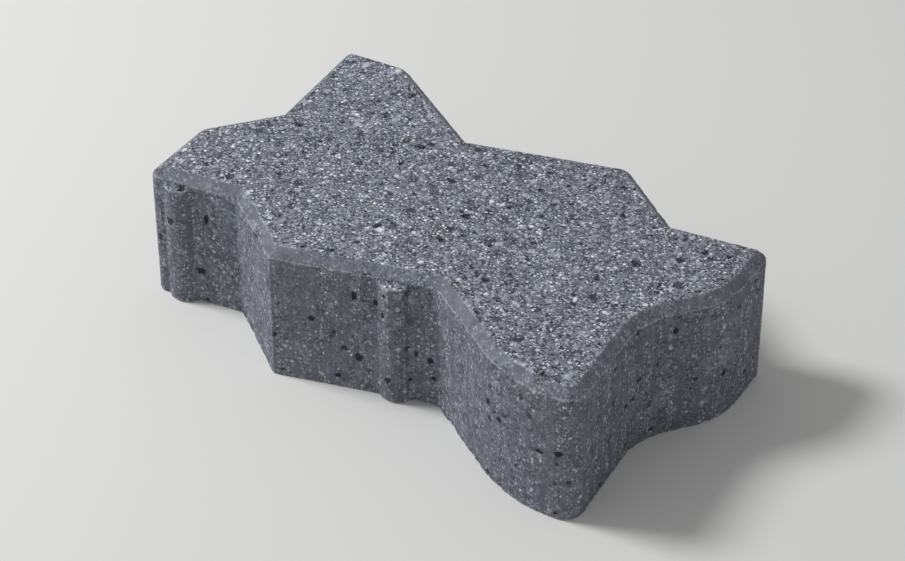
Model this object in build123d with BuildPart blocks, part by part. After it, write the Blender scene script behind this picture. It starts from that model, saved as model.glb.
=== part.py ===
from build123d import *
from math import radians, tan
import os

# A zigzag paving stone, cast in one piece from concrete and stored lying on its bed face.
# Millimetres, +Z up, +X along the row, origin in the middle of the bed face.

# Module: the pitch from one stone to the next along the row, and from row to row
module_length = 225.0
module_width = 112.5
height = 60.0

# Break points of one end, from the stone's middle and off the module's end line
bump_from_middle = 20.0
bump_out = 6.0
notch_from_middle = 10.0
notch_in = 12.5

# Break points of one long side, from the nearer end or the middle and off the module's side line
toe_out = 10.0
shoulder_from_end = 29.5
shoulder_out = 14.75
waist_from_middle = 27.0
waist_in = 13.5
peak_from_middle = 36.0
peak_out = 12.0
dip_from_end = 39.0
dip_in = 10.25

# Chamfer all round the walking face
chamfer_size = 4.0

# Rounding of the upright edges; the corner's and the toe's are measured on the walking face
top_corner_radius = 0.5
top_toe_radius = 4.0
bump_radius = 36.0
notch_radius = 34.0
shoulder_radius = 60.0
waist_radius = 4.0
arc_share = 0.95        # the most of a straight run that the arcs at its two ends take up

# Upright spacer ribs, two on each long side, which hold the joint to the next stone open
rib_width = 12.5
rib_projection = 4.0
rib_top_gap = 1.5       # from the rib's top up to the chamfer
corner_rib_distance = 13.5
waist_rib_distance = 17.0

# Corners of the outline, clockwise from above; the second half is the first turned half round
half_length = module_length / 2
half_width = module_width / 2
corner = Vector(-half_length, -half_width)
bump = Vector(-half_length - bump_out, -bump_from_middle)
notch = Vector(-half_length + notch_in, notch_from_middle)
toe = Vector(-half_length, half_width + toe_out)
shoulder = Vector(-half_length + shoulder_from_end, half_width + shoulder_out)
waist = Vector(-waist_from_middle, half_width - waist_in)
peak = Vector(peak_from_middle, half_width + peak_out)
dip = Vector(half_length - dip_from_end, half_width - dip_in)
half_outline = [corner, bump, notch, toe, shoulder, waist, peak, dip]
outline = half_outline + [-point for point in half_outline]

# The end at -X keeps crisp upright edges past its corner, and the end at +X has soft bends
sharp = 0.0
corner_radius = chamfer_size + top_corner_radius
toe_radius = chamfer_size + top_toe_radius
crisp_end = [corner_radius, sharp, sharp, sharp, sharp, sharp, sharp, sharp]
soft_end = [corner_radius, bump_radius, notch_radius, toe_radius, shoulder_radius, waist_radius, sharp, sharp]


def room_for_arc(run, other_reach):
    # Two arcs share the run between them: each may take half of it, or what the other leaves
    usable = arc_share * run.length
    return max(usable / 2, usable - other_reach)


def fitted_radii(points, radii):
    # An arc reaches radius * tan(turn / 2) along the run on each side of its corner
    count = len(points)
    runs = [points[i] - points[i - 1] for i in range(count)]
    half_turns = [radians(runs[i].get_angle(runs[(i + 1) % count]) / 2) for i in range(count)]
    reach = [radius * tan(half_turn) for radius, half_turn in zip(radii, half_turns)]
    fitted = []
    for i in range(count):
        after = (i + 1) % count
        room = min(room_for_arc(runs[i], reach[i - 1]), room_for_arc(runs[after], reach[after]))
        fitted.append(min(radii[i], room / tan(half_turns[i])))
    return fitted


# A rib is the part of a round bar that stands out of the side face
rib_radius = ((rib_width / 2) ** 2 + rib_projection**2) / (2 * rib_projection)
rib_height = height - chamfer_size - rib_top_gap


def rib_centre(foot, along):
    # The stone lies to the right of its clockwise outline, so the bar's axis is that far inside
    inward = along.rotate(Axis.Z, -90)
    return foot + inward * (rib_radius - rib_projection)


# Each rib is measured from its corner, along the face it stands on
waist_face = (peak - waist).normalized()
corner_face = (-corner - dip).normalized()
half_ribs = [
    rib_centre(waist + waist_face * waist_rib_distance, waist_face),
    rib_centre(-corner - corner_face * corner_rib_distance, corner_face),
]
rib_centres = half_ribs + [-centre for centre in half_ribs]

with BuildPart() as paving_stone:
    with BuildSketch() as footprint:
        with BuildLine():
            FilletPolyline(*outline, radius=fitted_radii(outline, crisp_end + soft_end), close=True)
        make_face()
    extrude(amount=height)
    chamfer(paving_stone.edges().group_by(Axis.Z)[-1], length=chamfer_size)
    with BuildSketch() as rib_sections:
        with Locations(*rib_centres):
            Circle(rib_radius)
    extrude(amount=rib_height)

paving_stone.part.label = "paving_stone"
os.makedirs("parts", exist_ok=True)
export_step(paving_stone.part, "parts/paving_stone.step")
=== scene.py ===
import bmesh
import bpy
import math
import random
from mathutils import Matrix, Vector, kdtree, noise
from types import SimpleNamespace


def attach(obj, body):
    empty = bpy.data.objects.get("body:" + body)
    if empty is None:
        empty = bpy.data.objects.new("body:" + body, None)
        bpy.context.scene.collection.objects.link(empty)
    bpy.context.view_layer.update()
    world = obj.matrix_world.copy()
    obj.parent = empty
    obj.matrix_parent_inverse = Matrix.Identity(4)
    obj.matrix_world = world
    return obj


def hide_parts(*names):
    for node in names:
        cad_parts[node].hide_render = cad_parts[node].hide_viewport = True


# Zigzag paving stone of dry-cast concrete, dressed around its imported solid. Metres, +Z up.
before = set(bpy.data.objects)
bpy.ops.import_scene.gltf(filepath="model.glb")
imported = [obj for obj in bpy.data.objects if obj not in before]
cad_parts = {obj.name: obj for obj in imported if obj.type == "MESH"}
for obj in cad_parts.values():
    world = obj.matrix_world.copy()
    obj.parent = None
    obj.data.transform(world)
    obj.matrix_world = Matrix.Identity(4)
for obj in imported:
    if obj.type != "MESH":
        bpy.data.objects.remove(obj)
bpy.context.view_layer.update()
mm = 0.001


def hexColour(code):
    # sRGB hex to the linear values that Blender's sockets take
    srgb = [int(code[i:i + 2], 16) / 255 for i in (1, 3, 5)]
    linear = [c / 12.92 if c <= 0.04045 else ((c + 0.055) / 1.055) ** 2.4 for c in srgb]
    return (*linear, 1.0)


def addNode(tree, kind, links=None, **settings):
    # links gives, by a socket's name or number, an output, a node (then its first output) or a value
    node = tree.nodes.new("ShaderNode" + kind)
    for name, value in settings.items():
        setattr(node, name, value)
    for name, value in (links or {}).items():
        if isinstance(value, bpy.types.Node):
            value = value.outputs[0]
        if isinstance(value, bpy.types.NodeSocket):
            tree.links.new(value, node.inputs[name])
        else:
            node.inputs[name].default_value = value
    return node


# The stone's mesh

stoneShape = {
    "mergeGap": 0.005 * mm,
    "flatAngle": 0.5,            # degrees; faces that meet at less than this are one
    "facetAngle": (1.0, 12.0),   # degrees; between these an edge is only a facet of a bend
    "facetRounding": 1.6 * mm,
    "facetSegments": 3,
    "voxel": 0.5 * mm,           # grid of the first mesh, before it is thinned
    "maxTriangles": 190000,
    "seed": 41,

    # which face a point is on goes by how steeply its normal rises: 0 is level and 1 straight up
    "sideEnds": (0.25, 0.6),
    "chamferStarts": (0.35, 0.6),
    "topStarts": (0.8, 0.95),

    "arrisPasses": 2,            # smoothing that takes the knife edge off every arris
    "wearPasses": 12,            # and more of it, not kept, to tell how near an arris is
    "passFactor": 0.5,           # how far a pass takes a point towards the middle of its neighbours
    "drawnIn": (0.02 * mm, 0.30 * mm),     # how far both draw a flat face in at most, and a full arris
    "arrisWear": 0.75 * mm,      # how far a full arris is worn down at most
    "arrisWearSize": 4 * mm,
    "arrisWearFractal": (0.7, 2.0, 4),     # H, lacunarity and octaves
    "arrisWearNoise": (-0.2, 0.9),         # where the wear begins, and where it is full

    "waviness": 0.12 * mm,       # how far the cast faces wander from flat
    "wavinessSize": 22 * mm,
    "dragDepth": 0.16 * mm,      # upright scores on the sides, left by the mould as it is drawn off
    "dragSize": (1.6 * mm, 1.6 * mm, 22 * mm),
    "dragNoise": (-0.1, 0.7),

    "topPits": 420,              # open pores in the walking face
    "otherPits": 1100,           # and the blowholes in the sides and the bed
    "otherPitsBelow": 0.5,       # which keep to faces that rise less than this
    "otherPitsArris": 0.2,       # and off the arrises
    "pitRadius": (0.55 * mm, 1.8 * mm),
    "pitDepth": (0.3 * mm, 0.9 * mm),      # of the widest; a narrower one is shallower to match
    "pitStretch": (0.7, 1.4),
    "pitRagged": 0.6,            # share of its radius by which a rim goes in and out
    "pitRaggedSize": 0.9 * mm,
    "pitReach": 1.5,             # radii; as far out as a rim is looked for
    "pitBowl": 0.6,              # power of the bowl's curve; 0.5 is round
    "pitDark": 0.5 * mm,         # a pore this deep is drawn as dark as any

    "chips": 150,                # small flakes lost from the arrises
    "chipArris": 0.6,            # how full an arris has to be to lose one
    "chipRadius": (1.0 * mm, 4.0 * mm),
    "chipCentre": (0.55, 0.85),  # radii; how far off the arris its ball is centred
    "chipDepth": 0.9,            # share of the way out of the ball that its points move
    "chipRough": 0.3,            # and how far that varies
    "chipRoughSize": 1.2 * mm,
    "chipSkin": 0.3 * mm,        # a flake this deep has lost all its skin of slurry
}


def mergedCopy(node, shape):
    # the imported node's faces, joined up, with the facets of its bends rounded off
    mesh = bmesh.new()
    mesh.from_mesh(node.data)
    bmesh.ops.remove_doubles(mesh, verts=mesh.verts, dist=shape["mergeGap"])
    flat = math.radians(shape["flatAngle"])
    bmesh.ops.dissolve_limit(mesh, angle_limit=flat, verts=mesh.verts, edges=mesh.edges)
    low, high = (math.radians(angle) for angle in shape["facetAngle"])
    facets = [e for e in mesh.edges if e.is_manifold and low < e.calc_face_angle() < high]
    bmesh.ops.bevel(mesh, geom=facets, affect="EDGES", offset=shape["facetRounding"], offset_type="OFFSET",
                    segments=shape["facetSegments"], profile=0.5, clamp_overlap=True, material=-1)
    return mesh


def meshObject(name, mesh):
    data = bpy.data.meshes.new(name)
    mesh.to_mesh(data)
    mesh.free()
    piece = bpy.data.objects.new(name, data)
    bpy.context.scene.collection.objects.link(piece)
    return piece


def applied(piece, kind, **settings):
    # adds one modifier and bakes it into the mesh
    modifier = piece.modifiers.new(kind.title(), kind)
    for name, value in settings.items():
        setattr(modifier, name, value)
    graph = bpy.context.evaluated_depsgraph_get()
    result = bpy.data.meshes.new_from_object(piece.evaluated_get(graph), depsgraph=graph)
    piece.modifiers.clear()
    piece.data = result


def smoothed(mesh, passes, factor):
    # smooths the mesh on from where it is, and gives the places that its points come to
    for _ in range(passes):
        bmesh.ops.smooth_vert(mesh, verts=mesh.verts, factor=factor,
                              use_axis_x=True, use_axis_y=True, use_axis_z=True)
    return [vertex.co.copy() for vertex in mesh.verts]


def grow(low, high, value):
    # 0 up to low, 1 from high on
    return max(0.0, min(1.0, (value - low) / (high - low)))


def mostlySmall(rng, sizes):
    # the draw is squared, so few sizes are near the largest
    least, most = sizes
    return least + (most - least) * rng.random() ** 2


def readSurface(mesh, shape):
    # each list has one value for each point: its places, its normal, and how far it is of each kind of face
    mould = [vertex.co.copy() for vertex in mesh.verts]
    points = smoothed(mesh, shape["arrisPasses"], shape["passFactor"])
    mesh.normal_update()
    normals = [vertex.normal.copy() for vertex in mesh.verts]
    worn = smoothed(mesh, shape["wearPasses"], shape["passFactor"])
    tree = kdtree.KDTree(len(points))
    for index, point in enumerate(points):
        tree.insert(point, index)
    tree.balance()
    return SimpleNamespace(
        mould=mould,
        points=points,
        normals=normals,
        tree=tree,
        # smoothing draws an arris in and leaves a flat face where it was
        arris=[grow(*shape["drawnIn"], (a - b).dot(n)) for a, b, n in zip(mould, worn, normals)],
        side=[1 - grow(*shape["sideEnds"], abs(n.z)) for n in normals],
        moulded=[1 - grow(*shape["sideEnds"], n.z) for n in normals],     # the sides and the bed
        chamfer=[grow(*shape["chamferStarts"], n.z) - grow(*shape["topStarts"], n.z) for n in normals],
        pit=[0.0] * len(points),
    )


def openPores(surface, shape, rng):
    # a ragged bowl each
    rises = [n.z for n in surface.normals]
    topSeats = [i for i, rise in enumerate(rises) if rise > shape["topStarts"][1]]
    otherSeats = [i for i, rise in enumerate(rises)
                  if rise < shape["otherPitsBelow"] and surface.arris[i] < shape["otherPitsArris"]]
    seats = [rng.choice(topSeats) for _ in range(shape["topPits"])]
    seats += [rng.choice(otherSeats) for _ in range(shape["otherPits"])]
    for seat in seats:
        centre = surface.points[seat]
        radius = mostlySmall(rng, shape["pitRadius"])
        depth = rng.uniform(*shape["pitDepth"]) * radius / shape["pitRadius"][1]
        stretch = Vector([rng.uniform(*shape["pitStretch"]) for _ in range(3)])
        for at, index, _ in surface.tree.find_range(centre, radius * shape["pitReach"]):
            ragged = 1 + shape["pitRagged"] * noise.noise(at / shape["pitRaggedSize"])
            reach = ((at - centre) * stretch).length / (radius * ragged)
            if reach < 1:
                bowl = depth * (1 - reach * reach) ** shape["pitBowl"]
                surface.pit[index] = max(surface.pit[index], bowl)


def wearFaces(surface, shape):
    # every point moves inwards, so the stone stays inside its solid
    for index, point in enumerate(surface.points):
        at = surface.mould[index]
        depth = surface.pit[index]
        depth += shape["waviness"] * (0.5 + 0.5 * noise.noise(at / shape["wavinessSize"]))
        if surface.side[index] > 0:
            drag = noise.noise(Vector([along / size for along, size in zip(at, shape["dragSize"])]))
            depth += surface.side[index] * shape["dragDepth"] * grow(*shape["dragNoise"], drag)
        if surface.arris[index] > 0:
            ragged = noise.fractal(at / shape["arrisWearSize"], *shape["arrisWearFractal"])
            depth += surface.arris[index] * shape["arrisWear"] * grow(*shape["arrisWearNoise"], ragged)
        surface.points[index] = point - surface.normals[index] * depth


def chipArrises(surface, shape, rng):
    # every point inside a ball at the arris moves out of it, and loses its skin of slurry
    edges = [i for i, value in enumerate(surface.arris) if value > shape["chipArris"]]
    for _ in range(shape["chips"]):
        seat = rng.choice(edges)
        radius = mostlySmall(rng, shape["chipRadius"])
        centre = surface.mould[seat] + surface.normals[seat] * radius * rng.uniform(*shape["chipCentre"])
        for at, index, away in surface.tree.find_range(centre, radius):
            share = shape["chipDepth"] + shape["chipRough"] * noise.noise(at / shape["chipRoughSize"])
            surface.points[index] -= surface.normals[index] * (radius - away) * share
            skin = 1 - grow(0, shape["chipSkin"], radius - away)
            surface.moulded[index] *= skin
            surface.chamfer[index] *= skin


def castRelief(piece, shape):
    rng = random.Random(shape["seed"])
    mesh = bmesh.new()
    mesh.from_mesh(piece.data)
    surface = readSurface(mesh, shape)
    print("stone: first mesh of", len(surface.points), "points")
    openPores(surface, shape, rng)
    wearFaces(surface, shape)
    chipArrises(surface, shape, rng)
    print("stone: pores opened, faces worn, arrises chipped")

    # the concrete reads these four
    masks = {
        "pit": [depth / shape["pitDark"] for depth in surface.pit],
        "arris": surface.arris,
        "moulded": surface.moulded,
        "chamfer": surface.chamfer,
    }
    layers = [(mesh.verts.layers.float.new(name), values) for name, values in masks.items()]
    for index, vertex in enumerate(mesh.verts):
        vertex.co = surface.points[index]
        for layer, values in layers:
            vertex[layer] = min(1.0, values[index])
    mesh.to_mesh(piece.data)
    mesh.free()


def makeStone(shape):
    piece = meshObject("pavingStone", mergedCopy(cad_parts["paving_stone"], shape))
    applied(piece, "REMESH", mode="VOXEL", voxel_size=shape["voxel"], adaptivity=0)
    castRelief(piece, shape)
    piece.data.calc_loop_triangles()
    count = len(piece.data.loop_triangles)
    if count > shape["maxTriangles"]:
        applied(piece, "DECIMATE", decimate_type="COLLAPSE", ratio=shape["maxTriangles"] / count)
    piece.data.calc_loop_triangles()
    print("stone:", count, "triangles, thinned to", len(piece.data.loop_triangles))
    for face in piece.data.polygons:
        face.use_smooth = True
    return piece


# Dry-cast concrete: a stiff mix of cement, sand and stone chips, pressed and vibrated in a steel mould. The
# eye sees a matte blue-grey paste, crowded with pale and dark grains, and small dark pores.

concreteLook = {
    "sandSize": 0.75,            # mm; sand of 0.2 mm would not show, so it is drawn as coarse as this
    "sandCloud": 0.5,            # share of its tone that a noise gives; its cells give the rest
    "sandContrast": (0.22, 0.82),     # what its pattern holds where it is darkest, and where palest
    "sandDark": "#34373F",
    "sandPale": "#A3A8B4",
    "patchSize": 14.0,           # mm; of the tint, of the slurry on the chamfer and of the dust
    "patchSpan": (0.35, 0.65),   # noise seldom leaves this span, so it is stretched from it
    "tintCool": "#FAFCFF",
    "tintWarm": "#FFFAFE",
    "mottleSize": 5.5,           # mm
    "mottleSpan": (0.3, 0.7),
    "mottle": (0.82, 1.18),      # what the colour is multiplied by, least and most
    # a skin of cement slurry hides this share of sand and grains, least and most, and its own tone is
    # between the sand's darkest, 0, and palest, 1
    "skins": [
        dict(on="chamfer", hides=(0.55, 0.92), tone=0.50),   # smoothed by the press shoe
        dict(on="moulded", hides=(0.3, 0.88), tone=0.40),    # against the mould and on the bed
    ],
    "streakSize": (2.4, 2.4, 36.0),   # mm; the mould's drag smears the skin upright
    "roughness": (0.78, 0.96),   # under a whole skin, and where the mix is bare
    "specular": 0.2,             # below the usual 0.5: the grit shades its own gloss, and pores stay dark
    "pushSize": 0.7,             # mm; of the noise that makes the grains ragged
    # each layer has its grains' spacing, the share of places that hold one, their radius and raggedness in
    # mm, the share of the radius within which they are whole, their colour and roughness, how much of it
    # shows, from the dullest grain to the plainest, and how far they stand out
    "grains": [
        dict(spacing=6.5, filled=0.46, radius=2.7, ragged=2.4, whole=0.78,
             colour="#2E3238", roughness=0.85, shows=(0.1, 0.8), raised=-0.2),
        dict(spacing=2.4, filled=0.26, radius=0.90, ragged=0.9, whole=0.6,
             colour="#0C0E12", roughness=0.80, shows=(0.1, 1.0), raised=-0.5),
        dict(spacing=4.2, filled=0.40, radius=1.6, ragged=1.4, whole=0.78,
             colour="#B5BAC9", roughness=0.75, shows=(0.05, 0.8), raised=0.2),
        dict(spacing=1.0, filled=0.50, radius=0.46, ragged=0.3, whole=0.78,
             colour="#E6EBF8", roughness=0.55, shows=(0.0, 1.0), raised=0.3),
        dict(spacing=1.8, filled=0.36, radius=0.68, ragged=0.5, whole=0.78,
             colour="#F9FBFF", roughness=0.55, shows=(0.05, 1.0), raised=0.3),
        dict(spacing=4.6, filled=0.34, radius=1.15, ragged=0.8, whole=0.6,
             colour="#F3F6FF", roughness=0.50, shows=(0.1, 1.0), raised=0.3),
        dict(spacing=14.0, filled=0.20, radius=2.2, ragged=1.5, whole=0.4,
             colour="#EEF1FA", roughness=0.55, shows=(0.4, 1.0), raised=0.3),
    ],
    "relief": 0.3 * mm,          # height of the bump that sand and grains make
    "bump": 0.7,                 # and its strength
    # what lies over the mix, wear and painted light, in this order: where its pattern begins and is full,
    # and how much it covers
    "wearAndPaintedLight": [
        dict(kind="dust", colour="#848278", span=(0.42, 0.6), cover=0.45),     # in patches by the arrises
        dict(kind="wearAndHighlight", colour="#B7BAC2", span=(0.5, 1.0), cover=0.75),    # the arrises themselves, paler: part wear, part painted highlight
        dict(kind="bloom", colour="#B7B9C0", span=(0.62, 0.78), cover=0.45),   # lime, here and there
        dict(kind="pore", colour="#16181C", span=(0.64, 1.1), cover=0.8),      # shade and dirt in the pores
    ],
    "sandInWearAndPaintedLight": 0.5,           # how far the sand breaks up the pale arrises, worn and with painted highlight, and the rims of the pores
    "bloomSize": 34.0,           # mm
}


def mixSand(tree, inMm, look):
    # cells of random tone, run together by a noise of their own size
    fineness = 1 / look["sandSize"]
    cells = addNode(tree, "TexVoronoi", {"Vector": inMm, "Scale": fineness})
    cellTone = addNode(tree, "SeparateColor", {"Color": cells.outputs["Color"]})
    cloud = addNode(tree, "TexNoise", {
        "Vector": inMm, "Scale": fineness, "Detail": 2.0, "Roughness": 0.7})
    tone = addNode(tree, "Mix", {0: look["sandCloud"], 2: cellTone, 3: cloud}, data_type="FLOAT")
    darkest, palest = look["sandContrast"]
    return addNode(tree, "MapRange", {"Value": tone, "From Min": darkest, "From Max": palest})


def coatWithSlurry(tree, inMm, sand, patches, look):
    # in patches on the chamfer, in upright smears on the sides; gives the tone and how bare the mix is
    along = addNode(tree, "VectorMath", {0: inMm, 1: look["streakSize"]}, operation="DIVIDE")
    streaks = addNode(tree, "TexNoise", {"Vector": along, "Scale": 1.0, "Detail": 3.0, "Roughness": 0.6})
    patterns = {"chamfer": patches, "moulded": streaks}
    low, high = look["patchSpan"]
    tone = sand
    bare = 1.0
    for skin in look["skins"]:
        mask = addNode(tree, "Attribute", attribute_name=skin["on"]).outputs["Fac"]
        least, most = skin["hides"]
        share = addNode(tree, "MapRange", {
            "Value": patterns[skin["on"]], "From Min": low, "From Max": high,
            "To Min": least, "To Max": most})
        hidden = addNode(tree, "Math", {0: mask, 1: share}, operation="MULTIPLY")
        tone = addNode(tree, "Mix", {0: hidden, 2: tone, 3: skin["tone"]}, data_type="FLOAT")
        bare = addNode(tree, "Math", {0: bare, 1: hidden}, operation="SUBTRACT")
    return tone, bare


def scatterGrains(tree, inMm, colour, height, bare, look):
    # one to a cell at most, its outline pushed about by a fine noise, as crushed stone is
    smoothest, roughest = look["roughness"]
    roughness = addNode(tree, "MapRange", {"Value": bare, "To Min": smoothest, "To Max": roughest})
    push = addNode(tree, "TexNoise", {"Vector": inMm, "Scale": 1 / look["pushSize"], "Detail": 1.0})
    centred = addNode(tree, "VectorMath", {0: push.outputs["Color"], 1: (0.5, 0.5, 0.5)},
                      operation="SUBTRACT")
    for layer in look["grains"]:
        moved = addNode(tree, "VectorMath", {0: centred, 1: (layer["ragged"],) * 3, 2: inMm},
                        operation="MULTIPLY_ADD")
        cells = addNode(tree, "TexVoronoi", {"Vector": moved, "Scale": 1 / layer["spacing"]})
        own = addNode(tree, "SeparateColor", {"Color": cells.outputs["Color"]})
        edge = layer["radius"] / layer["spacing"]
        body = addNode(tree, "MapRange", {
            "Value": cells, "From Min": edge, "From Max": edge * layer["whole"]})
        chosen = addNode(tree, "Math", {0: own, 1: layer["filled"]}, operation="LESS_THAN")
        grain = addNode(tree, "Math", {0: body, 1: chosen}, operation="MULTIPLY")
        least, most = layer["shows"]
        shows = addNode(tree, "MapRange", {"Value": own.outputs["Green"], "To Min": least, "To Max": most})
        seen = addNode(tree, "Math", {0: grain, 1: bare}, operation="MULTIPLY")
        cover = addNode(tree, "Math", {0: seen, 1: shows}, operation="MULTIPLY")
        colour = addNode(tree, "Mix", {0: cover, 6: colour, 7: hexColour(layer["colour"])},
                         data_type="RGBA").outputs[2]
        roughness = addNode(tree, "Mix", {0: cover, 2: roughness, 3: layer["roughness"]},
                            data_type="FLOAT")
        height = addNode(tree, "Math", {0: cover, 1: layer["raised"], 2: height},
                         operation="MULTIPLY_ADD")
    return colour, roughness, height


def weatherAndPaintedLight(tree, inMm, colour, sand, patches, look):
    # dust and lime bloom lie over the mix, with a painted highlight along the arrises and painted shade in
    # the pores
    arris = addNode(tree, "Attribute", attribute_name="arris").outputs["Fac"]
    pit = addNode(tree, "Attribute", attribute_name="pit").outputs["Fac"]
    bloom = addNode(tree, "TexNoise", {
        "Vector": inMm, "Scale": 1 / look["bloomSize"], "Detail": 5.0, "Roughness": 0.65})
    # sand shows through along the pale arris, its wear and painted highlight, and round a pore, so both are
    # broken and grainy
    wearAndHighlight, pore = (
        addNode(tree, "Math", {0: sand, 1: look["sandInWearAndPaintedLight"], 2: mask}, operation="MULTIPLY_ADD")
        for mask in (arris, pit))
    patterns = {"dust": patches, "wearAndHighlight": wearAndHighlight, "bloom": bloom, "pore": pore}
    for layer in look["wearAndPaintedLight"]:
        begins, full = layer["span"]
        cover = addNode(tree, "MapRange", {
            "Value": patterns[layer["kind"]], "From Min": begins, "From Max": full,
            "To Max": layer["cover"]})
        if layer["kind"] == "dust":
            cover = addNode(tree, "Math", {0: arris, 1: cover}, operation="MULTIPLY")
        colour = addNode(tree, "Mix", {0: cover, 6: colour, 7: hexColour(layer["colour"])},
                         data_type="RGBA").outputs[2]
    return colour


def makeConcrete(look):
    material = bpy.data.materials.new("dryCastConcrete")
    material.use_nodes = True
    tree = material.node_tree
    tree.nodes.clear()
    place = addNode(tree, "TexCoord").outputs["Object"]
    inMm = addNode(tree, "VectorMath", {0: place, "Scale": 1 / mm}, operation="SCALE")

    patches = addNode(tree, "TexNoise", {"Vector": inMm, "Scale": 1 / look["patchSize"], "Detail": 3.0})
    sand = mixSand(tree, inMm, look)
    tone, bare = coatWithSlurry(tree, inMm, sand, patches, look)
    colour = addNode(tree, "Mix", {0: tone, 6: hexColour(look["sandDark"]), 7: hexColour(look["sandPale"])},
                     data_type="RGBA").outputs[2]

    # tint: patches a little bluer or redder than the rest
    low, high = look["patchSpan"]
    warmth = addNode(tree, "MapRange", {"Value": patches, "From Min": low, "From Max": high})
    tint = addNode(tree, "Mix", {0: warmth, 6: hexColour(look["tintCool"]), 7: hexColour(look["tintWarm"])},
                   data_type="RGBA").outputs[2]
    colour = addNode(tree, "Mix", {0: 1.0, 6: colour, 7: tint},
                     data_type="RGBA", blend_type="MULTIPLY").outputs[2]

    # the bump starts from the sand, and the grains stand on it
    colour, roughness, height = scatterGrains(tree, inMm, colour, sand, bare, look)

    # mottle: the mix is never quite even, so patches of it are darker or paler
    mottleNoise = addNode(tree, "TexNoise", {"Vector": inMm, "Scale": 1 / look["mottleSize"], "Detail": 3.0})
    low, high = look["mottleSpan"]
    darkest, palest = look["mottle"]
    mottle = addNode(tree, "MapRange", {
        "Value": mottleNoise, "From Min": low, "From Max": high, "To Min": darkest, "To Max": palest})
    colour = addNode(tree, "VectorMath", {0: colour, "Scale": mottle}, operation="SCALE")

    colour = weatherAndPaintedLight(tree, inMm, colour, sand, patches, look)
    bump = addNode(tree, "Bump", {"Height": height, "Strength": look["bump"], "Distance": look["relief"]})
    shader = addNode(tree, "BsdfPrincipled", {
        "Base Color": colour, "Roughness": roughness, "Specular IOR Level": look["specular"],
        "Normal": bump})
    addNode(tree, "OutputMaterial", {"Surface": shader})
    print("stone: concrete of", len(tree.nodes), "nodes")
    return material


# Studio

studioLook = {
    "azimuth": 39.4,             # degrees, from the stone's front towards +X
    "elevation": 35.5,
    "distance": 1.1,
    "aimHeight": 24 * mm,
    "pixelsPerMm": 2.5,          # in an image of this width
    "imageWidth": 905,
    "sensorWidth": 36.0,         # mm
    "clipEnd": 50.0,
    "floor": "#E9E9E7",
    "floorRoughness": 0.9,
    "floorSize": 12.0,           # half of its width
    "world": 0.32,
    "keyPlace": (-1.08, -0.50, 1.40),   # rakes the ribs and the zigzag from the left
    "keySize": 0.55,
    "key": 22.5,                 # W
}


def lookingAlong(direction):
    return direction.to_track_quat("-Z", "Y").to_euler()


def makeFloor(look):
    mesh = bmesh.new()
    bmesh.ops.create_grid(mesh, x_segments=1, y_segments=1, size=look["floorSize"])
    floor = meshObject("floor", mesh)
    paint = bpy.data.materials.new("paleFloor")
    paint.use_nodes = True
    tree = paint.node_tree
    tree.nodes.clear()
    flat = addNode(tree, "BsdfPrincipled", {
        "Base Color": hexColour(look["floor"]), "Roughness": look["floorRoughness"]})
    addNode(tree, "OutputMaterial", {"Surface": flat})
    floor.data.materials.append(paint)


def makeLight(scene, look):
    world = bpy.data.worlds.new("softRoom")
    world.use_nodes = True
    tree = world.node_tree
    tree.nodes.clear()
    sky = addNode(tree, "Background", {"Color": (1, 1, 1, 1), "Strength": look["world"]})
    addNode(tree, "OutputWorld", {"Surface": sky})
    scene.world = world

    key = bpy.data.objects.new("softKey", bpy.data.lights.new("softKey", "AREA"))
    key.data.shape = "DISK"
    key.data.size = look["keySize"]
    key.data.energy = look["key"]
    key.location = look["keyPlace"]
    key.rotation_euler = lookingAlong(-key.location)
    scene.collection.objects.link(key)


def makeCamera(scene, look):
    aim = Vector((0, 0, look["aimHeight"]))
    turn = math.radians(look["azimuth"])
    rise = math.radians(look["elevation"])
    back = Vector((math.sin(turn) * math.cos(rise), -math.cos(turn) * math.cos(rise), math.sin(rise)))
    camera = bpy.data.objects.new("camera", bpy.data.cameras.new("camera"))
    camera.location = aim + back * look["distance"]
    camera.rotation_euler = lookingAlong(-back)
    # the lens that fits the width seen at the aim to the image
    widthSeen = look["imageWidth"] / look["pixelsPerMm"] * mm
    camera.data.sensor_width = look["sensorWidth"]
    camera.data.lens = look["sensorWidth"] * look["distance"] / widthSeen
    camera.data.clip_end = look["clipEnd"]
    scene.collection.objects.link(camera)
    scene.camera = camera


stone = makeStone(stoneShape)
stone.data.materials.append(makeConcrete(concreteLook))
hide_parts("paving_stone")
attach(stone, "root")

scene = bpy.context.scene
scene.view_settings.view_transform = "Standard"
makeFloor(studioLook)
makeLight(scene, studioLook)
makeCamera(scene, studioLook)
print("studio: floor, light and camera")
